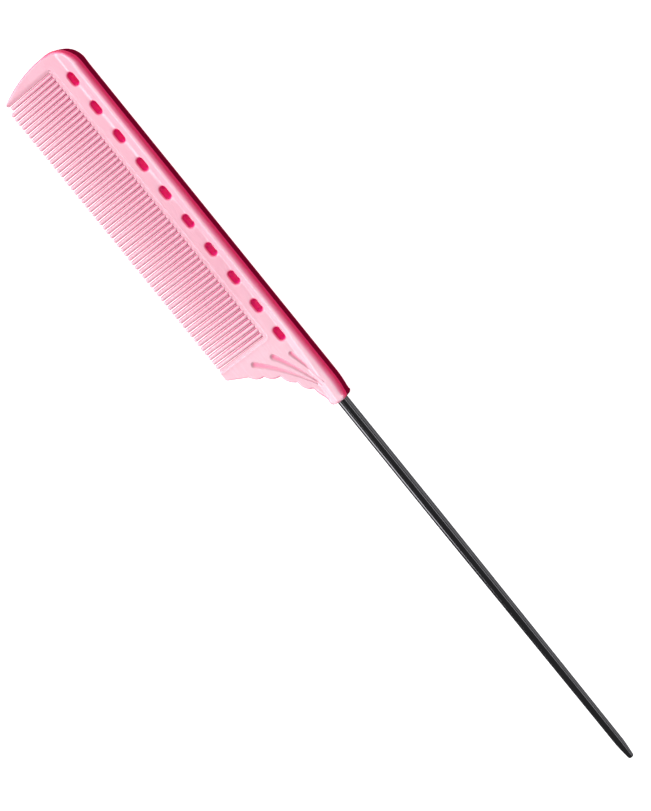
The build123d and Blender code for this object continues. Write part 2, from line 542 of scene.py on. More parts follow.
class Edge(Enum):
    """The kinds of edge round the comb body.

    Each gives how far the rounding reaches across the face, how far it falls, and how far the
    parting ridge stands out of the wall, in millimetres.
    """

    BACK = (1.62, 0.80, 0.12)
    DIP = (1.60, 0.85, 0.12)
    BUTT = (0.55, 0.55, 0.05)
    BARREL = (1.30, 1.15, 0.06)
    BUMP = (0.60, 0.52, 0.08)
    HEEL = (0.45, 0.40, 0.06)
    TIP = (0.30, 0.30, 0.05)
    INNER = (0.20, 0.20, 0.04)
    ROOT = (0.12, 0.12, 0.03)
    HEAD = (0.55, 0.42, 0.08)
    CORNER = (1.10, 0.62, 0.11)


class Outline:
    """A closed plan outline that is written as a run of lines and arcs."""

    def __init__(self, start: tuple[float, float]) -> None:
        """Starts the outline at a point."""
        self.points: list[np.ndarray] = [np.array(start, float)]
        self.kinds: list[Edge] = []

    def line(self, end: tuple[float, float], kind: Edge, step: float) -> "Outline":
        """Adds a straight run.

        Args:
            end: Where it ends.
            kind: The kind of edge.
            step: Spacing of its points.

        Returns:
            The outline itself.
        """
        return self.bow(end, 0.0, kind, step)

    def bow(self, end: tuple[float, float], rise: float, kind: Edge, step: float) -> "Outline":
        """Adds a flat arc that stands out from its chord.

        Args:
            end: Where it ends.
            rise: Height of the arc over the chord, positive away from the comb.
            kind: The kind of edge.
            step: Spacing of its points.

        Returns:
            The outline itself.
        """
        start = self.points[-1]
        chord = np.array(end, float) - start
        across = np.array([chord[1], -chord[0]]) / np.linalg.norm(chord)
        count = max(1, round(float(np.linalg.norm(chord)) / step))
        for index in range(1, count + 1):
            along = index / count
            height = rise * 4 * along * (1 - along)
            self._put(start + chord * along + across * height, kind)
        return self

    def quarter(
        self, end: tuple[float, float], corner: tuple[float, float], kind: Edge, step: float
    ) -> "Outline":
        """Adds a quarter of an ellipse that rounds off a corner.

        Args:
            end: Where it ends.
            corner: The sharp corner that it rounds.
            kind: The kind of edge.
            step: Spacing of its points.

        Returns:
            The outline itself.
        """
        start = self.points[-1]
        finish = np.array(end, float)
        centre = start + finish - np.array(corner, float)
        reach = float(np.linalg.norm(finish - start))
        count = max(3, round(1.2 * reach / step))
        for index in range(1, count + 1):
            turn = math.pi / 2 * index / count
            point = centre + (start - centre) * math.cos(turn) + (finish - centre) * math.sin(turn)
            self._put(point, kind)
        return self

    def _put(self, point: np.ndarray, kind: Edge) -> None:
        """Keeps one more point and the kind of edge that led to it."""
        self.points.append(np.maximum(point, 0.0))
        self.kinds.append(kind)

    def closed(self) -> tuple[np.ndarray, np.ndarray]:
        """Ends the outline where it began.

        Returns:
            The points, and the three values of the kind of edge at each, eased along it.
        """
        points = np.array(self.points[1:])
        values = np.array([kind.value for kind in self.kinds])
        window = 5
        shifts = range(-(window // 2), window // 2 + 1)
        eased = sum(np.roll(values, shift, axis=0) for shift in shifts) / window
        return points, eased


def segment_distance(points: np.ndarray, loop: np.ndarray) -> tuple[np.ndarray, np.ndarray]:
    """Distance from points to a closed polyline.

    Args:
        points: The points to measure.
        loop: The polyline's points.

    Returns:
        The distance of each point, and the place of the nearest spot along the loop.
    """
    ahead = np.roll(loop, -1, axis=0)
    run = ahead - loop
    square = (run**2).sum(1)
    best = np.full(len(points), 1e9)
    where = np.zeros(len(points))
    for first in range(0, len(points), 2000):
        part = points[first : first + 2000]
        offset = part[:, None, :] - loop[None, :, :]
        along = np.clip((offset * run).sum(2) / square, 0, 1)
        gap = np.linalg.norm(offset - along[..., None] * run, axis=2)
        nearest = gap.argmin(1)
        rows = np.arange(len(part))
        best[first : first + 2000] = gap[rows, nearest]
        where[first : first + 2000] = nearest + along[rows, nearest]
    return best, where


def inside(points: np.ndarray, loop: np.ndarray) -> np.ndarray:
    """Which points lie inside a closed polyline.

    Args:
        points: The points to test.
        loop: The polyline's points.

    Returns:
        True for each point inside.
    """
    odd = np.zeros(len(points), bool)
    px, py = points[:, 0], points[:, 1]
    for start, end in zip(loop, np.roll(loop, -1, axis=0)):
        spans = (start[1] > py) != (end[1] > py)
        with np.errstate(divide="ignore", invalid="ignore"):
            crossing = (end[0] - start[0]) * (py - start[1]) / (end[1] - start[1]) + start[0]
        odd ^= spans & (px < crossing)
    return odd


def smooth(value: np.ndarray, low: float, high: float) -> np.ndarray:
    """A smooth step from 0 at low to 1 at high."""
    along = np.clip((value - low) / (high - low), 0, 1)
    return along * along * (3 - 2 * along)


# ---------------------------------------------------------------------------- the moulded body
@dataclass
class Flute:
    """A tapering groove pressed into the heel, along an arc through three plan points."""

    start: tuple[float, float]
    middle: tuple[float, float]
    end: tuple[float, float]
    start_width: float = 1.95
    end_width: float = 0.55
    depth: float = 0.50
    shallowing: float = 0.50
    step: float = 0.28

    def __post_init__(self) -> None:
        """Works out the centre line."""
        first, mid, last = (np.array(p, float) for p in (self.start, self.middle, self.end))
        control = 2 * mid - (first + last) / 2
        count = round(float(np.linalg.norm(last - first)) / self.step)
        t = np.linspace(0, 1, count + 1)[:, None]
        self.line = (1 - t) ** 2 * first + 2 * t * (1 - t) * control + t**2 * last
        self.along = t[:, 0]

    def half_width(self, along: np.ndarray) -> np.ndarray:
        """Half the groove's width at a place from 0 at its start to 1 at its end."""
        return (self.start_width + (self.end_width - self.start_width) * along) / 2

    def points(self) -> np.ndarray:
        """Plan points that follow the groove's section and its round start.

        Returns:
            One row for each point.
        """
        run = np.gradient(self.line, axis=0)
        run /= np.linalg.norm(run, axis=1)[:, None]
        side = np.column_stack([-run[:, 1], run[:, 0]])
        wide = self.half_width(self.along)
        steps = (-1.12, -1.0, -0.8, -0.55, -0.28, 0.0, 0.28, 0.55, 0.8, 1.0, 1.12)
        rows = [self.line + side * (wide * step)[:, None] for step in steps]
        for reach in (0.28, 0.55, 0.8, 1.0, 1.12):
            for turn in np.linspace(math.pi / 2, 3 * math.pi / 2, 9)[1:-1]:
                spoke = run[0] * math.cos(turn) + side[0] * math.sin(turn)
                rows.append((self.line[0] + spoke * reach * wide[0])[None, :])
        return np.vstack(rows)

    def cut(self, points: np.ndarray) -> np.ndarray:
        """How deep the groove is at each plan point.

        Args:
            points: Length and depth of each point.

        Returns:
            The depth of the groove below the face at each.
        """
        gap = np.linalg.norm(points[:, None, :] - self.line[None, :, :], axis=2)
        nearest = gap.argmin(1)
        along = self.along[nearest]
        reach = gap[np.arange(len(points)), nearest] / self.half_width(along)
        return self.depth * np.clip(1 - reach**2, 0, 1) * (1 - self.shallowing * along)

    def near(self, points: np.ndarray) -> np.ndarray:
        """Which points lie on the groove or just beside it.

        Args:
            points: Length and depth of each point.

        Returns:
            True for each point that is near.
        """
        gap = np.linalg.norm(points[:, None, :] - self.line[None, :, :], axis=2)
        nearest = gap.argmin(1)
        reach = gap[np.arange(len(points)), nearest]
        return reach < self.half_width(self.along[nearest]) * 1.12 + 0.10


@dataclass
class Hole:
    """One oval measuring hole through the web, with a rounded rim in a shallow dish."""

    length: float
    depth: float
    long: float = 3.5
    tall: float = 1.9
    rim: float = 0.45
    dish: float = 1.05
    dish_depth: float = 0.13
    waist: float = 0.60
    waist_height: float = -0.60
    waist_lean: float = 0.45
    spokes: int = 40

    def loop(self, offset: float = 0.0) -> np.ndarray:
        """Plan points round the hole, at an offset out from its wall.

        Args:
            offset: Distance out from the wall, negative inside the hole.

        Returns:
            One row for each point.
        """
        radius = self.tall / 2
        reach = (self.long - self.tall) / 2
        turns = np.linspace(0, 2 * math.pi, self.spokes, endpoint=False)
        ring = np.column_stack([np.cos(turns), np.sin(turns)]) * (radius + offset)
        ring[:, 0] += reach * np.clip(np.cos(turns) * 3, -1, 1)
        return ring + (self.length, self.depth)

    def ridge(self) -> np.ndarray:
        """Plan points along the crest inside the hole, which leans towards the back."""
        return self.loop(-self.waist) - (0.0, self.waist_lean)

    def gap(self, points: np.ndarray) -> np.ndarray:
        """Distance of points from the hole's wall, negative inside the hole.

        Args:
            points: Length and depth of each point.

        Returns:
            The distance of each point.
        """
        reach = (self.long - self.tall) / 2
        local = points - (self.length, self.depth)
        local[:, 0] -= np.clip(local[:, 0], -reach, reach)
        return np.linalg.norm(local, axis=1) - self.tall / 2


@dataclass
class CombBody:
    """The moulded comb body without its fine teeth, as one closed skin."""

    plan: CombPlan
    corner_length: float = 6.8
    corner_depth: float = 7.8
    guard_tip: tuple[float, float] = (2.85, 24.7)
    guard_bulge: float = 0.90
    heel_tip: tuple[float, float] = (89.5, 25.35)
    notches: tuple = ((92.2, 19.6), (94.4, 16.0), (96.7, 12.2), (100.3, 9.5), (103.9, 7.2))
    bump_rise: float = 0.62
    dip_start: float = 102.5
    dip: float = 0.60
    butt_low: float = 5.95
    bead_foot: float = 1.72
    web_top: float = 3.83
    web_half: float = 1.20
    border: float = 7.85
    border_half: float = 1.12
    border_round: float = 1.1
    border_head: float = 3.45
    border_heel: float = 87.2
    step_height: float = 0.26
    step_run: float = 0.28
    border_bead: float = 0.06
    bead_width: float = 0.18
    tip_half: float = 0.80
    butt_foot: float = 3.40
    butt_web: float = 4.95
    butt_web_half: float = 1.60
    first_hole: float = 8.82
    hole_pitch: float = 8.79
    hole_depth: float = 4.76
    hole_count: int = 10
    column: float = 0.45
    row: float = 0.33
    clearance: float = 0.13
    thinnest: float = 0.08
    weld: float = 0.004
    parting: float = 0.75
    # Painted highlights: a pale line along the crest of the back bead and one along the border bead.
    crest_depth: float = 1.92
    crest_width: float = 0.42
    crest_highlight_paint: float = 0.75
    bead_reach: float = 0.45
    bead_highlight_paint: float = 0.75
    # Painted shade in the flutes and round the hole rims.
    flute_shade_paint: float = 0.68
    rim_shade_paint: float = 0.96
    rim_shade_reach: float = 1.9

    def __post_init__(self) -> None:
        """Lays out the outline, the holes and the flutes."""
        self.holes = [
            Hole(self.first_hole + self.hole_pitch * index, self.hole_depth)
            for index in range(self.hole_count)
        ]
        self.flutes = [
            Flute((90.5, 15.9), (95.9, 10.3), (103.4, 4.9)),
            Flute((91.7, 10.2), (97.4, 6.9), (104.2, 4.0)),
            Flute((93.6, 5.6), (98.0, 4.3), (103.6, 2.6), start_width=1.45, depth=0.42),
        ]
        self.outer, kinds = self._outline().closed()
        self.corner, self.fall, self.ridge = kinds.T
        ahead = np.roll(self.outer, -1, axis=0) - np.roll(self.outer, 1, axis=0)
        ahead /= np.linalg.norm(ahead, axis=1)[:, None]
        self.inward = np.column_stack([-ahead[:, 1], ahead[:, 0]])
        self.loop = self.outer + self.inward * self.ridge[:, None]

    def _outline(self) -> Outline:
        """The outline from the back's head end, round by the butt, the teeth and the head.

        Returns:
            The open path, ready to be closed.
        """
        plan = self.plan
        end = plan.body_length
        heel_side = plan.heel_guard_side
        head_side = plan.head_guard_side
        tip_x, tip_y = self.guard_tip
        path = Outline((self.corner_length, 0.0))
        path.line((self.dip_start, 0.0), Edge.BACK, 0.55)
        path.bow((end - 1.2, self.dip), self.dip / 3, Edge.DIP, 0.4)
        path.quarter((end, self.dip + 1.3), (end, self.dip), Edge.BUTT, 0.12)
        path.line((end, self.butt_low - 1.5), Edge.BUTT, 0.2)
        path.quarter((end - 1.3, self.butt_low), (end, self.butt_low), Edge.BUTT, 0.12)
        path.line((end - 3.0, self.butt_low + 0.30), Edge.BARREL, 0.25)
        path.bow(self.notches[-1], 0.22, Edge.BARREL, 0.25)
        for point in reversed(self.notches[:-1]):
            path.bow(point, self.bump_rise, Edge.BUMP, 0.2)
        path.line((self.heel_tip[0] + 0.35, self.heel_tip[1] - 0.7), Edge.HEEL, 0.25)
        path.quarter((self.heel_tip[0] - 0.4, self.heel_tip[1]), self.heel_tip, Edge.TIP, 0.12)
        path.line((heel_side + 0.6, self.heel_tip[1]), Edge.TIP, 0.15)
        corner = (heel_side, self.heel_tip[1])
        path.quarter((heel_side, self.heel_tip[1] - 0.7), corner, Edge.TIP, 0.12)
        path.line((heel_side, plan.root_depth), Edge.INNER, 0.35)
        path.line((head_side, plan.root_depth), Edge.ROOT, 0.35)
        path.line((head_side, tip_y - 0.35), Edge.INNER, 0.35)
        path.quarter((head_side - 0.35, tip_y), (head_side, tip_y), Edge.TIP, 0.1)
        path.quarter((tip_x - 0.05, tip_y - 0.4), (tip_x, tip_y), Edge.TIP, 0.1)
        path.bow((0.0, self.corner_depth), self.guard_bulge, Edge.HEAD, 0.35)
        return path.quarter((self.corner_length, 0.0), (0.0, 0.0), Edge.CORNER, 0.25)

    # -- thickness
    def _border_gap(self, points: np.ndarray) -> np.ndarray:
        """Signed distance from the round-cornered edge of the thin toothed zone.

        Args:
            points: Length and depth of each point.

        Returns:
            The distance of each point, negative inside the zone.
        """
        middle = (self.border_head + self.border_heel) / 2
        reach = (self.border_heel - self.border_head) / 2 - self.border_round
        across = np.abs(points[:, 0] - middle) - reach
        up = (self.border + self.border_round) - points[:, 1]
        outside = np.hypot(np.maximum(across, 0), np.maximum(up, 0))
        within = np.minimum(np.maximum(across, up), 0)
        return outside + within - self.border_round

    def _web(self, points: np.ndarray) -> np.ndarray:
        """Half thickness of the plain section along the toothed part.

        Args:
            points: Length and depth of each point.

        Returns:
            The half thickness at each point.
        """
        depth = points[:, 1]
        half = self.plan.half
        knots = [0.0, self.bead_foot, self.web_top, self.border, self.plan.depth]
        heights = [half, half, self.web_half, self.border_half, self.tip_half - 0.02]
        crisp = np.interp(depth, knots, heights)
        slope = np.clip((self.web_top - depth) / (self.web_top - self.bead_foot), 0, 1)
        crisp = np.where(
            (depth > self.bead_foot) & (depth < self.web_top),
            self.web_half + (half - self.web_half) * slope**1.35,
            crisp,
        )
        panel = np.interp(depth, knots[2:], heights[2:])
        soft = panel + (half - panel) * (1 - smooth(depth, 0.9, 4.9))
        share = smooth(points[:, 0], 12.0, 62.0)
        return soft * (1 - share) + crisp * share

    def _heel(self, points: np.ndarray) -> np.ndarray:
        """Half thickness from the heel to the butt, where the web swells into a barrel.

        Args:
            points: Length and depth of each point.

        Returns:
            The half thickness at each point.
        """
        depth = points[:, 1]
        side = self.plan.heel_guard_side
        share = np.clip((points[:, 0] - side) / (self.plan.body_length - side), 0, 1)
        half = self.plan.half
        foot = self.bead_foot + (self.butt_foot - self.bead_foot) * share
        low = self.web_top + (self.butt_web - self.web_top) * share
        web = self.web_half + (self.butt_web_half - self.web_half) * share
        tip = self.tip_half + (self.butt_web_half - self.tip_half) * share
        slope = web + (half - web) * np.clip((low - depth) / (low - foot), 0, 1)
        panel = web + (tip - web) * np.clip((depth - low) / (self.plan.depth - low), 0, 1)
        return np.where(depth < low, slope, panel)

    def half_thickness(self, points: np.ndarray) -> np.ndarray:
        """Half thickness of the body at plan points, with every rounding and groove.

        Args:
            points: Length and depth of each point.

        Returns:
            The height of the face above the mid plane at each.
        """
        share = smooth(points[:, 0], self.border_heel - 0.4, self.border_heel + 3.5)
        high = self._web(points) * (1 - share) + self._heel(points) * share
        border = self._border_gap(points)
        high -= self.step_height * np.clip(0.5 - border / self.step_run, 0, 1)
        high += self.border_bead * self._hump(border - self.step_run, self.bead_width)
        for flute in self.flutes:
            high -= flute.cut(points)
        for hole in self.holes:
            gap = hole.gap(points.copy())
            near = gap < hole.dish
            bowl = np.clip(1 - gap / hole.dish, 0, 1) ** 2
            high -= hole.dish_depth * bowl
            high[near] -= self._rounding(gap[near], np.full(near.sum(), hole.rim))
        gap, where = segment_distance(points, self.loop)
        count = len(self.loop)
        places = np.arange(count + 1)
        radius = np.interp(where, places, np.append(self.corner, self.corner[0]))
        fall = np.interp(where, places, np.append(self.fall, self.fall[0]))
        return high - self._rounding(gap, radius) * fall / radius

    def _paint_edge_shade_and_crests(self, points: np.ndarray) -> np.ndarray:
        """Painted shade at plan points, from 0 on the open face to 1 at an edge wall.

        Args:
            points: Length and depth of each point.

        Returns:
            The painted shade at each, below 0 where a pale highlight is painted along the crests.
        """
        gap, where = segment_distance(points, self.loop)
        places = np.arange(len(self.loop) + 1)
        radius = np.interp(where, places, np.append(self.corner, self.corner[0]))
        # Painted shade deepens across the rounded edge towards the wall.
        tint = np.clip(1 - gap / radius, 0, 1)
        # Painted highlight along the crest of the back bead and along the border bead.
        depth = points[:, 1]
        along = (depth < self.butt_low) & (points[:, 0] > self.corner_length)
        crest = self._hump(depth - self.crest_depth, self.crest_width) * along
        bead = self._border_gap(points)
        crest = np.maximum(crest, self._hump(bead - self.step_run, self.bead_reach) * self.bead_highlight_paint)
        tint -= self.crest_highlight_paint * crest
        # Painted shade in the flutes.
        for flute in self.flutes:
            tint = np.maximum(tint, self.flute_shade_paint * flute.cut(points) / flute.depth)
        # Painted shade round the hole rims.
        for hole in self.holes:
            reach = hole.rim * self.rim_shade_reach
            near = np.clip(1 - hole.gap(points.copy()) / reach, 0, 1)
            tint = np.maximum(tint, near * self.rim_shade_paint)
        return tint

    @staticmethod
    def _hump(offset: np.ndarray, width: float) -> np.ndarray:
        """A smooth rise from 0 to 1 and back, centred where the offset is 0."""
        return np.exp(-((offset / width) ** 2))

    @staticmethod
    def _rounding(gap: np.ndarray, radius: np.ndarray) -> np.ndarray:
        """How far a rounded corner falls below the face at a distance from the wall."""
        reach = np.clip(1 - gap / radius, 0, 1)
        return radius * (1 - np.sqrt(1 - reach**2))

    # -- skin
    def _edge_rings(self) -> np.ndarray:
        """Plan points in rings along the rounded corner of the outline.

        Returns:
            One row for each point.
        """
        rings = []
        for angle in range(15, 91, 15):
            reach = self.corner * (1 - math.cos(math.radians(angle)))
            ring = self.loop + self.inward * reach[:, None]
            gap, _ = segment_distance(ring, self.loop)
            rings.append(ring[(gap > reach - 0.01) & inside(ring, self.loop)])
        return np.vstack(rings)

    def _hole_rings(self) -> np.ndarray:
        """Plan points in rings round every hole's rim and dish.

        Returns:
            One row for each point.
        """
        rings = []
        for hole in self.holes:
            for angle in range(18, 91, 18):
                rings.append(hole.loop(hole.rim * (1 - math.cos(math.radians(angle)))))
            for share in (0.5, 0.68, 0.86, 1.04):
                rings.append(hole.loop(hole.dish * share))
        return np.vstack(rings)

    def _border_rows(self) -> np.ndarray:
        """Plan points in rows along the step down to the toothed zone.

        Returns:
            One row for each point.
        """
        rows = []
        steps = (-0.62, -0.5, -0.17, 0.17, 0.5, 1.0, 1.6)
        left, right = self.border_head, self.border_heel
        radius = self.border_round
        for step in steps:
            out = step * self.step_run
            lengths = np.arange(left + radius, right - radius, 0.4)
            rows.append(np.column_stack([lengths, np.full(len(lengths), self.border - out)]))
            depths = np.arange(self.border + radius, self.heel_tip[1], 0.4)
            rows.append(np.column_stack([np.full(len(depths), right + out), depths]))
            turns = np.linspace(0, math.pi / 2, 8)[1:-1]
            reach = radius + out
            centre = self.border + radius
            for middle, way in ((right - radius, 1), (left + radius, -1)):
                arc_x = middle + way * reach * np.sin(turns)
                rows.append(np.column_stack([arc_x, centre - reach * np.cos(turns)]))
        return np.vstack(rows)

    def _field(self, taken: np.ndarray) -> np.ndarray:
        """Plain grid points that fill the faces, clear of the points already there.

        Args:
            taken: Points that follow edges and grooves.

        Returns:
            The grid points that remain.
        """
        lengths = np.arange(0.3, self.plan.body_length, self.column)
        foot, top = self.bead_foot, self.web_top
        near = [0.95, 1.25, foot - 0.12, foot, foot + 0.12, 2.2, 2.6, 3.0, 3.4]
        near += [top - 0.12, top, top + 0.12]
        depths = np.concatenate([near, np.arange(top + 0.45, self.plan.depth, self.row)])
        grid = np.array([(a, b) for b in depths for a in lengths])
        gap, where = segment_distance(grid, self.loop)
        radius = self.corner[np.minimum(where.astype(int), len(self.corner) - 1)]
        grid = grid[inside(grid, self.loop) & (gap > radius + 0.06)]
        for hole in self.holes:
            grid = grid[hole.gap(grid.copy()) > hole.dish * 1.04 + 0.12]
        for flute in self.flutes:
            grid = grid[~flute.near(grid)]
        free = np.ones(len(grid), bool)
        for first in range(0, len(grid), 1000):
            part = grid[first : first + 1000]
            square = ((part[:, None, :] - taken[None, :, :]) ** 2).sum(2)
            free[first : first + 1000] = square.min(1) > self.clearance**2
        return grid[free]

    def _sheet(self) -> tuple[np.ndarray, list, list[list[int]]]:
        """Triangulates the plan.

        Returns:
            The plan points, the triangles, and the point numbers round the outline and each hole.
        """
        loops = [self.loop] + [hole.loop() for hole in self.holes]
        rings = [self._edge_rings(), self._hole_rings(), self._border_rows()]
        rings += [flute.points() for flute in self.flutes]
        extra = np.vstack(rings)
        gap, _ = segment_distance(extra, self.loop)
        extra = extra[inside(extra, self.loop) & (gap > self.weld)]
        for hole in self.holes:
            extra = extra[hole.gap(extra.copy()) > self.weld]
        taken = np.vstack(loops + [extra])
        points = np.vstack([taken, self._field(taken)])
        edges = []
        numbers = []
        first = 0
        for loop in loops:
            ring = list(range(first, first + len(loop)))
            edges += list(zip(ring, ring[1:] + ring[:1]))
            numbers.append(ring)
            first += len(loop)
        flat = [Vector(point) for point in points]
        made = delaunay_2d_cdt(flat, edges, [], 0, 1e-5, True)
        places = np.array([tuple(point) for point in made[0]])
        triangles = np.array(made[2])
        became = {old: new for new, olds in enumerate(made[3]) for old in olds}
        centres = places[triangles].mean(axis=1)
        keep = inside(centres, self.loop)
        for hole in self.holes:
            keep &= ~inside(centres, hole.loop())
        rings_now = [[became[number] for number in ring] for ring in numbers]
        return places, triangles[keep].tolist(), rings_now

    def build(self) -> bpy.types.Object:
        """Builds the closed skin: both faces, the edge walls and the walls of the holes.

        Returns:
            The body as one plain mesh.
        """
        places, triangles, rings = self._sheet()
        high = self.half_thickness(places)
        high = np.maximum(high, self.thinnest)
        count = len(places)
        vertices = [self.plan.to_frame(places, high), self.plan.to_frame(places, -high)]
        faces = [tuple(t) for t in triangles]
        faces += [tuple(count + v for v in reversed(t)) for t in triangles]
        sharp = []
        first = 2 * count
        share = smooth(-self.outer[:, 1], -4.0, -0.5)
        heights = [self.parting * share] + [hole.waist_height for hole in self.holes]
        ridges = [self.outer] + [hole.ridge() for hole in self.holes]
        # Material 1 paints crimson shade on the wall above the parting ridge, 2 paints maroon shade on
        # the wall below it, and 3 paints scarlet shade on the hole walls.
        kinds = [0] * len(faces)
        for ring, ridge, height in zip(rings, ridges, heights):
            vertices.append(self.plan.to_frame(ridge, np.full(len(ridge), 1.0) * height))
            size = len(ring)
            for here in range(size):
                there = (here + 1) % size
                faces.append((ring[here], ring[there], first + there, first + here))
                low_here, low_there = count + ring[here], count + ring[there]
                faces.append((first + here, first + there, low_there, low_here))
                if ring is rings[0]:
                    sharp.append((first + here, first + there))
                    kinds += [1, 2]
                else:
                    kinds += [3, 3]
            first += size
        piece = make_piece("comb_body", np.vstack(vertices), faces, sharp)
        # Painted edge shade and crest highlights on both faces; every ridge of the walls takes full
        # painted shade.
        tint = self._paint_edge_shade_and_crests(places)
        walls = np.ones(sum(len(ridge) for ridge in ridges))
        painted = piece.data.attributes.new(PaintedShadeSource.PAINTED.value, "FLOAT", "POINT")
        painted.data.foreach_set("value", np.concatenate([tint, tint, walls]))
        piece.data.polygons.foreach_set("material_index", kinds)
        return piece


def make_piece(
    name: str, vertices: np.ndarray, faces: list[tuple], sharp: list[tuple[int, int]]
) -> bpy.types.Object:
    """Makes a smooth mesh object with outward faces.

    Args:
        name: The object's name.
        vertices: One row for each vertex, in metres.
        faces: Vertex numbers of each face.
        sharp: Pairs of vertices whose edge is a crease.

    Returns:
        The new object, in the scene.
    """
    mesh = bpy.data.meshes.new(name)
    mesh.from_pydata([tuple(v) for v in vertices], [], faces)
    made = bmesh.new()
    made.from_mesh(mesh)
    made.verts.ensure_lookup_table()
    creases = {frozenset(pair) for pair in sharp}
    for edge in made.edges:
        if frozenset(v.index for v in edge.verts) in creases:
            edge.smooth = False
    bmesh.ops.recalc_face_normals(made, faces=made.faces)
    if made.calc_volume(signed=True) < 0:
        bmesh.ops.reverse_faces(made, faces=made.faces)
    for face in made.faces:
        face.smooth = True
    made.to_mesh(mesh)
    made.free()
    piece = bpy.data.objects.new(name, mesh)
    bpy.context.scene.collection.objects.link(piece)
    return piece


# ---------------------------------------------------------------------------- geometry nodes
class GeometryGraph(Graph):
    """A geometry node tree with named inputs, which an object evaluates once."""

    SOCKETS = {
        float: "NodeSocketFloat",
        int: "NodeSocketInt",
        bpy.types.Material: "NodeSocketMaterial",
    }

    def __init__(self, name: str, inputs: dict[str, Any]) -> None:
        """Makes the tree and its interface.

        Args:
            name: The tree's name.
            inputs: Each input's name and value.
        """
        super().__init__(bpy.data.node_groups.new(name, "GeometryNodeTree"))
        face = self.tree.interface
        face.new_socket("Geometry", in_out="INPUT", socket_type="NodeSocketGeometry")
        self.values = inputs
        self.identifiers = {}
        for label, value in inputs.items():
            kind = self.SOCKETS[type(value)]
            socket = face.new_socket(label, in_out="INPUT", socket_type=kind)
            self.identifiers[label] = socket.identifier
        face.new_socket("Geometry", in_out="OUTPUT", socket_type="NodeSocketGeometry")
        self.entry = self.add("NodeGroupInput")

    def given(self, label: str) -> Term:
        """A named input as a term."""
        return self.term(self.entry, label)

    def vector(self, x: Any, y: Any, z: Any) -> Term:
        """A vector from three values."""
        return self.term(self.add("ShaderNodeCombineXYZ", inputs={0: x, 1: y, 2: z}))

    def position(self) -> tuple[Term, Term, Term]:
        """X, Y and Z of each point.

        Returns:
            X, Y and Z.
        """
        split = self.add(
            "ShaderNodeSeparateXYZ",
            inputs={0: self.add("GeometryNodeInputPosition").outputs[0]},
        )
        return self.term(split, 0), self.term(split, 1), self.term(split, 2)

    def finish(self, geometry: Any) -> None:
        """Ends the tree with plain, smooth, dressed geometry.

        Args:
            geometry: The geometry that the tree gives out.
        """
        real = self.add("GeometryNodeRealizeInstances", inputs={0: geometry})
        shade = self.add("GeometryNodeSetShadeSmooth", inputs={0: real.outputs[0]})
        dress = self.add(
            "GeometryNodeSetMaterial",
            inputs={"Geometry": shade.outputs[0], "Material": self.given("Material")},
        )
        self.add("NodeGroupOutput", inputs={0: dress.outputs[0]})

    def apply(self, name: str, source: bpy.types.Mesh) -> bpy.types.Object:
        """Evaluates the tree on a mesh and keeps the result as a plain piece.

        Args:
            name: Name of the piece.
            source: The mesh that the tree starts from.

        Returns:
            The new object, with no modifier.
        """
        holder = bpy.data.objects.new(name, source)
        bpy.context.scene.collection.objects.link(holder)
        modifier = holder.modifiers.new(name, "NODES")
        modifier.node_group = self.tree
        for label, value in self.values.items():
            modifier[self.identifiers[label]] = value
        graph = bpy.context.evaluated_depsgraph_get()
        made = bpy.data.meshes.new_from_object(holder.evaluated_get(graph))
        made.name = name
        holder.modifiers.remove(modifier)
        holder.data = made
        return holder


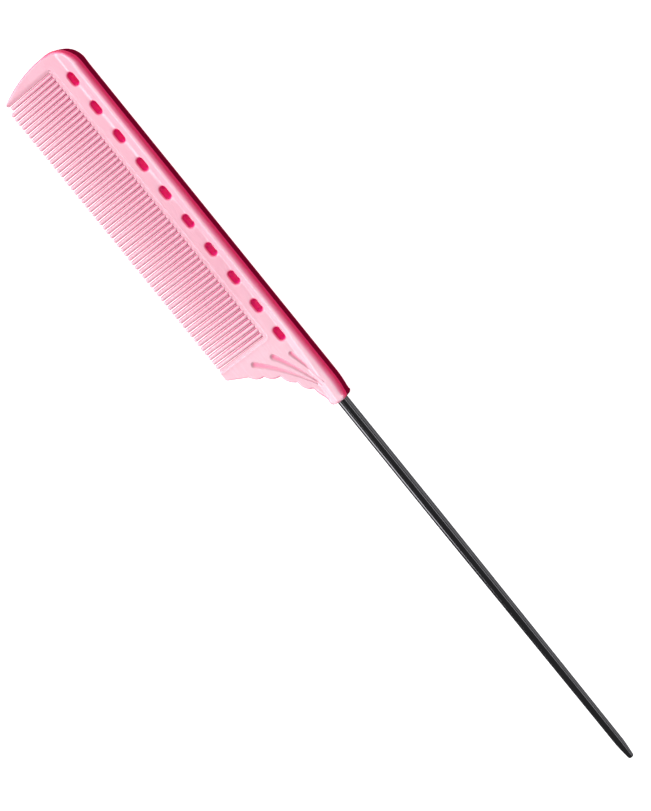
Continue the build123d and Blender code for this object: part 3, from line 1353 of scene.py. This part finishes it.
@dataclass
class ToothRow:
    """The fine teeth: one rounded tooth set out along the comb at a slowly growing pitch."""

    plan: CombPlan
    tip_gap: float = 0.20
    side_gap: float = 0.05
    top_depth: float = 8.50
    root_half: float = 1.0
    tip_half: float = 0.68
    squareness: float = 2.4
    first_shorter: float = 1.2
    unevenness: float = 0.03
    sides: int = 18
    rings: int = 22
    seed: int = 7

    def build(self, finish: bpy.types.Material) -> bpy.types.Object:
        """Builds the row.

        Args:
            finish: Material of the teeth.

        Returns:
            The teeth as one plain mesh.
        """
        plan = self.plan
        graph = GeometryGraph(
            "tooth_row",
            {
                "Teeth": plan.teeth,
                "Sides": self.sides,
                "Rings": self.rings,
                "Seed": self.seed,
                "Head X": plan.head * MM,
                "Back Y": plan.back * MM,
                "Mid Z": plan.middle * MM,
                "First gap": plan.first_gap * MM,
                "First pitch": plan.first_pitch * MM,
                "Pitch growth": plan.growth * MM,
                "Side gap": self.side_gap * MM,
                "Tip gap": self.tip_gap * MM,
                "Top depth": self.top_depth * MM,
                "Tip depth": plan.depth * MM,
                "Root half thickness": self.root_half * MM,
                "Tip half thickness": self.tip_half * MM,
                "First tooth shorter": self.first_shorter * MM,
                "Unevenness": self.unevenness * MM,
                "Squareness": self.squareness,
                "Material": finish,
            },
        )
        graph.finish(self._set_out(graph, self._tooth(graph)))
        return graph.apply("fine_tooth_row", bpy.data.meshes.new("tooth_row_source"))

    def _tooth(self, graph: GeometryGraph) -> bpy.types.NodeSocket:
        """One tooth, of the first pitch's width, hanging from its top at the origin.

        Args:
            graph: The tree that the nodes are added to.

        Returns:
            The tooth's geometry.
        """
        cylinder = graph.add(
            "GeometryNodeMeshCylinder",
            {"fill_type": "TRIANGLE_FAN"},
            {
                "Vertices": graph.given("Sides"),
                "Side Segments": graph.given("Rings"),
                "Radius": 1.0,
                "Depth": 1.0,
            },
        )
        x, y, z = graph.position()
        along = (0.5 - z).unit()
        spread = along - 0.085 * graph.term(
            graph.add("ShaderNodeMath", {"operation": "SINE"}, {0: along * (2 * math.pi)})
        )
        power = graph.given("Squareness")
        size = (abs(x) ** power + abs(y) ** power) ** (1.0 / power)
        unit = 1.0 / size.most(0.001)
        wide = (graph.given("First pitch") - graph.given("Side gap")) * 0.5
        narrow = (graph.given("First pitch") - graph.given("Tip gap")) * 0.5
        thick = graph.given("Root half thickness")
        thin = graph.given("Tip half thickness")
        tip = ((spread - 0.966) / 0.034).unit()
        blunt = (1.0 - tip * tip * 0.86) ** 0.5
        top = (1.0 - spread / 0.05).unit()
        fade = 1.0 - top * top
        half_width = (wide + (narrow - wide) * spread) * blunt * (0.35 + 0.65 * fade)
        half_depth = (thick + (thin - thick) * spread) * blunt * (0.80 + 0.20 * fade)
        length = graph.given("Tip depth") - graph.given("Top depth")
        shaped = graph.add(
            "GeometryNodeSetPosition",
            inputs={
                "Geometry": cylinder.outputs[0],
                "Position": graph.vector(
                    x * unit * half_width, spread * length * -1.0, y * unit * half_depth
                ),
            },
        )
        return shaped.outputs[0]

    def _set_out(self, graph: GeometryGraph, tooth: bpy.types.NodeSocket) -> bpy.types.NodeSocket:
        """Sets the tooth out along the comb, wider and wider, the first a little shorter.

        Args:
            graph: The tree that the nodes are added to.
            tooth: The geometry of one tooth.

        Returns:
            The whole row, as instances.
        """
        line = graph.add(
            "GeometryNodeMeshLine",
            {"mode": "OFFSET"},
            {"Count": graph.given("Teeth"), "Offset": (0.0, 0.0, 0.0)},
        )
        index = graph.term(graph.add("GeometryNodeInputIndex"))
        pitch = graph.given("First pitch") + graph.given("Pitch growth") * index
        gaps = graph.given("First pitch") * index
        gaps = gaps + graph.given("Pitch growth") * index * (index - 1.0) * 0.5
        centre = graph.given("Head X") + graph.given("First gap") + gaps + pitch * 0.5
        top = graph.given("Back Y") - graph.given("Top depth")
        placed = graph.add(
            "GeometryNodeSetPosition",
            inputs={
                "Geometry": line.outputs[0],
                "Position": graph.vector(centre, top, graph.given("Mid Z")),
            },
        )
        uneven = graph.add(
            "FunctionNodeRandomValue",
            {"data_type": "FLOAT"},
            {2: 0.0, 3: 1.0, "ID": index, "Seed": graph.given("Seed")},
        )
        short = graph.given("First tooth shorter") * index.equals(0.0)
        short = short + graph.given("Unevenness") * graph.term(uneven, 1)
        length = graph.given("Tip depth") - graph.given("Top depth")
        wider = (pitch - graph.given("Side gap")) / (
            graph.given("First pitch") - graph.given("Side gap")
        )
        row = graph.add(
            "GeometryNodeInstanceOnPoints",
            inputs={
                "Points": placed.outputs[0],
                "Instance": tooth,
                "Scale": graph.vector(wider, 1.0 - short / length, 1.0),
            },
        )
        return row.outputs[0]


@dataclass
class TailPin:
    """The steel pin: keyed root in the butt, straight shaft, long taper and blunt tip."""

    plan: CombPlan
    radius: float = 1.475
    root_radius: float = 1.05
    root_length: float = 13.8
    straight: float = 38.0
    end_radius: float = 1.175
    cone: float = 5.1
    tip_radius: float = 0.80
    tip_round: float = 0.55
    groove_start: float = 2.2
    groove_pitch: float = 3.4
    groove_width: float = 1.2
    groove_depth: float = 0.2
    grooves: int = 3
    sides: int = 56

    def _stations(self) -> list[tuple[float, float]]:
        """Distance from the head end and radius at each turn of the lathe profile.

        Returns:
            The pairs, from the hidden root to the tip.
        """
        butt = self.plan.body_length
        root = butt - self.root_length
        soft = 0.06
        profile = [(root, 0.9), (root + 0.25, self.root_radius)]
        for index in range(self.grooves):
            start = root + self.groove_start + index * self.groove_pitch
            end = start + self.groove_width
            low = self.root_radius - self.groove_depth
            profile += [(start, self.root_radius), (start + soft, low)]
            profile += [(end - soft, low), (end, self.root_radius)]
        profile += [(butt - 0.12, self.root_radius), (butt - 0.04, self.radius)]
        profile += [(butt + self.straight * step / 8, self.radius) for step in range(9)]
        cone_start = self.plan.length - self.cone
        taper_start = butt + self.straight
        for step in range(1, 19):
            share = step / 18
            radius = self.radius + (self.end_radius - self.radius) * share
            profile.append((taper_start + (cone_start - taper_start) * share, radius))
        soften = 0.9
        profile[-1] = (cone_start - soften, profile[-1][1] + 0.004)
        tip_start = self.plan.length - self.tip_round
        for step in range(7):
            share = step / 6
            ease = share**1.25
            radius = self.end_radius + (self.tip_radius - self.end_radius) * ease
            profile.append((cone_start + 0.1 + (tip_start - cone_start - 0.1) * share, radius))
        for step in range(1, 9):
            turn = math.pi / 2 * step / 8.5
            along = tip_start + self.tip_round * math.sin(turn)
            profile.append((along, self.tip_radius * math.cos(turn) ** 0.8))
        return profile

    def build(self, finish: bpy.types.Material) -> bpy.types.Object:
        """Builds the pin by turning its profile round its axis.

        Args:
            finish: Material of the pin.

        Returns:
            The pin as one plain mesh.
        """
        stations = np.array(self._stations())
        depths = np.full(len(stations), self.plan.pin_depth)
        axis = np.column_stack([stations[:, 0], depths])
        places = self.plan.to_frame(axis, np.zeros(len(axis)))
        source = bpy.data.meshes.new("pin_axis")
        edges = [(index, index + 1) for index in range(len(places) - 1)]
        source.from_pydata([tuple(p) for p in places], edges, [])
        radius = source.attributes.new("turned_radius", "FLOAT", "POINT")
        radius.data.foreach_set("value", stations[:, 1] * MM)
        graph = GeometryGraph("turned_pin", {"Sides": self.sides, "Material": finish})
        curve = graph.add("GeometryNodeMeshToCurve", inputs={0: graph.entry.outputs[0]})
        named = graph.add(
            "GeometryNodeInputNamedAttribute", {"data_type": "FLOAT"}, {"Name": "turned_radius"}
        )
        ring = graph.add(
            "GeometryNodeCurvePrimitiveCircle",
            inputs={"Resolution": graph.given("Sides"), "Radius": 1.0},
        )
        turned = graph.add(
            "GeometryNodeCurveToMesh",
            inputs={
                "Curve": curve.outputs[0],
                "Profile Curve": ring.outputs[0],
                "Scale": graph.term(named),
                "Fill Caps": True,
            },
        )
        graph.finish(turned.outputs[0])
        return graph.apply("steel_tail_pin", source)


def face_outward(piece: bpy.types.Object, crease: float | None = None) -> None:
    """Turns every face of a closed mesh outwards.

    Args:
        piece: The object.
        crease: Edges that turn by more than this angle, in degrees, become creases.
    """
    made = bmesh.new()
    made.from_mesh(piece.data)
    bmesh.ops.remove_doubles(made, verts=made.verts, dist=1e-7)
    bmesh.ops.recalc_face_normals(made, faces=made.faces)
    if made.calc_volume(signed=True) < 0:
        bmesh.ops.reverse_faces(made, faces=made.faces)
    for edge in made.edges:
        if crease and len(edge.link_faces) == 2:
            edge.smooth = math.degrees(edge.calc_face_angle(0.0)) < crease
    made.to_mesh(piece.data)
    made.free()


# ---------------------------------------------------------------------------- the studio
@dataclass(frozen=True)
class SoftBox:
    """A rectangular area light that looks at the comb."""

    name: str
    place: tuple[float, float, float]
    wide: float
    tall: float
    power: float
    colour: tuple[float, float, float] = (1.0, 1.0, 1.0)

    def build(self, aim: Vector) -> bpy.types.Object:
        """Makes the light and turns it to the point.

        Args:
            aim: The point that it faces.

        Returns:
            The light, in the scene.
        """
        data = bpy.data.lights.new(self.name, "AREA")
        data.shape = "RECTANGLE"
        data.size = self.wide
        data.size_y = self.tall
        data.energy = self.power
        data.color = self.colour
        lamp = bpy.data.objects.new(self.name, data)
        lamp.location = self.place
        lamp.rotation_euler = (aim - Vector(self.place)).to_track_quat("-Z", "Y").to_euler()
        bpy.context.scene.collection.objects.link(lamp)
        return lamp


@dataclass
class Studio:
    """Plain pale floor, soft light and the camera over the comb's back edge."""

    camera_place: tuple[float, float, float] = (-0.0670, 0.350025, 0.59775)
    sight: tuple[float, float, float] = (0.0919, -0.4996, -0.8614)
    right: tuple[float, float, float] = (0.6264, 0.7015, -0.3400)
    lens: float = 125.0
    floor_size: float = 6.0
    world_strength: float = 0.22
    boxes: tuple[SoftBox, ...] = (
        SoftBox("key_softbox", (-0.30, -0.95, 0.75), 1.2, 0.5, 15.0),
        SoftBox("head_softbox", (-1.10, -0.25, 0.60), 0.6, 0.5, 5.5),
        SoftBox("top_softbox", (-0.25, -0.35, 1.30), 0.6, 0.6, 4.0),
        SoftBox("rim_strip", (0.20, 1.20, 0.50), 1.6, 0.22, 4.0),
    )

    def build(self) -> None:
        """Builds the floor, the lights, the world and the camera."""
        self._floor()
        for box in self.boxes:
            box.build(Vector((0.0, 0.0, 0.0)))
        self._world()
        self._camera()

    def _floor(self) -> None:
        """The floor that the comb lies on."""
        half = self.floor_size / 2
        low = CAD_BOX[0].z - 0.02 * MM
        corners = [(-half, -half, low), (half, -half, low), (half, half, low), (-half, half, low)]
        mesh = bpy.data.meshes.new("studio_floor")
        mesh.from_pydata(corners, [], [(0, 1, 2, 3)])
        floor = bpy.data.objects.new("studio_floor", mesh)
        bpy.context.scene.collection.objects.link(floor)
        floor.data.materials.append(PaleFloor("floor_white").material())

    def _world(self) -> None:
        """An even, dim surround."""
        world = bpy.data.worlds.new("surround")
        world.use_nodes = True
        shade = world.node_tree.nodes["Background"]
        shade.inputs["Color"].default_value = (1.0, 1.0, 1.0, 1.0)
        shade.inputs["Strength"].default_value = self.world_strength
        bpy.context.scene.world = world

    def _camera(self) -> None:
        """The camera, set by its line of sight and the direction of its right side."""
        data = bpy.data.cameras.new("camera")
        data.lens = self.lens
        data.sensor_width = 36.0
        data.sensor_fit = "AUTO"
        camera = bpy.data.objects.new("camera", data)
        ahead = Vector(self.sight).normalized()
        side = Vector(self.right)
        side = (side - ahead * side.dot(ahead)).normalized()
        up = side.cross(ahead)
        turn = Matrix((side, up, -ahead)).transposed().to_4x4()
        camera.matrix_world = Matrix.Translation(self.camera_place) @ turn
        bpy.context.scene.collection.objects.link(camera)
        bpy.context.scene.camera = camera


# ---------------------------------------------------------------------------- putting it together
@dataclass
class Comb:
    """The whole comb: body, teeth and pin, each riding on the part's one body."""

    plan: CombPlan = field(default_factory=CombPlan)

    def build(self) -> None:
        """Builds and dresses every piece and reports it."""
        # Painted shade colours: maroon for the wall below the parting ridge, scarlet for the hole walls.
        # comb_plastic paints the faces' edge shade and crest highlights.
        painted_maroon = (0.150, 0.0012, 0.0170, 1.0)
        painted_scarlet = (0.92, 0.036, 0.32, 1.0)
        finishes = (
            CombPlastic("comb_plastic"),
            CombPlastic("back_facet_painted_shade", gloss=0.04, coat=0.0, roughness=0.42),
            CombPlastic(
                "under_facet_painted_shade",
                depths=((0.0, painted_maroon), (1.0, painted_maroon)),
                deepen=FULL_PAINTED_SHADE,
                gloss=0.0,
                coat=0.0,
                roughness=0.5,
                glow_through=0.0,
            ),
            CombPlastic(
                "hole_wall_painted_shade",
                depths=((0.0, painted_scarlet), (1.0, painted_scarlet)),
                deepen=FULL_PAINTED_SHADE,
                gloss=0.12,
                coat=0.0,
            ),
        )
        # The teeth's steep sides take painted shade, deep red in the gaps; it fades and the face turns
        # paler towards the tips.
        tooth_finish = CombPlastic(
            "tooth_painted_slope_shade",
            source=PaintedShadeSource.SLOPE,
            depths=(
                (0.05, (0.84, 0.42, 0.53, 1.0)),
                (0.30, (0.80, 0.22, 0.38, 1.0)),
                (0.60, (0.68, 0.075, 0.24, 1.0)),
                (0.90, (0.54, 0.030, 0.160, 1.0)),
            ),
            deepen=(0.03, 0.20),
            tip_fade=0.50,
        ).material()
        steel = PolishedSteel("pin_steel").material()
        body = CombBody(self.plan).build()
        for finish in finishes:
            body.data.materials.append(finish.material())
        nodes = ("spine", "head_guard", "heel_guard", "tail_socket")
        self._hand_over(body, "comb_plastic", *nodes)
        teeth = ToothRow(self.plan).build(tooth_finish)
        face_outward(teeth)
        self._hand_over(teeth, "comb_plastic", "fine_teeth")
        pin = TailPin(self.plan).build(steel)
        face_outward(pin, crease=35.0)
        self._hand_over(pin, "pin_steel", "tail_pin")

    @staticmethod
    def _hand_over(piece: bpy.types.Object, slot: str, *nodes: str) -> None:
        """Hands a finished piece to the frame.

        Args:
            piece: The finished piece.
            slot: Not used.
            nodes: The CAD nodes that it stands for.
        """
        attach(piece, BODY)
        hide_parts(*nodes)
        log.info("%s: %d faces, stands for %s", piece.name, len(piece.data.polygons), nodes)


def main() -> None:
    """Builds the studio and the comb."""
    logging.basicConfig(level=logging.INFO, format="%(name)s: %(message)s")
    bpy.context.scene.view_settings.view_transform = "Standard"
    Studio().build()
    Comb().build()


if __name__ == "__main__":
    main()
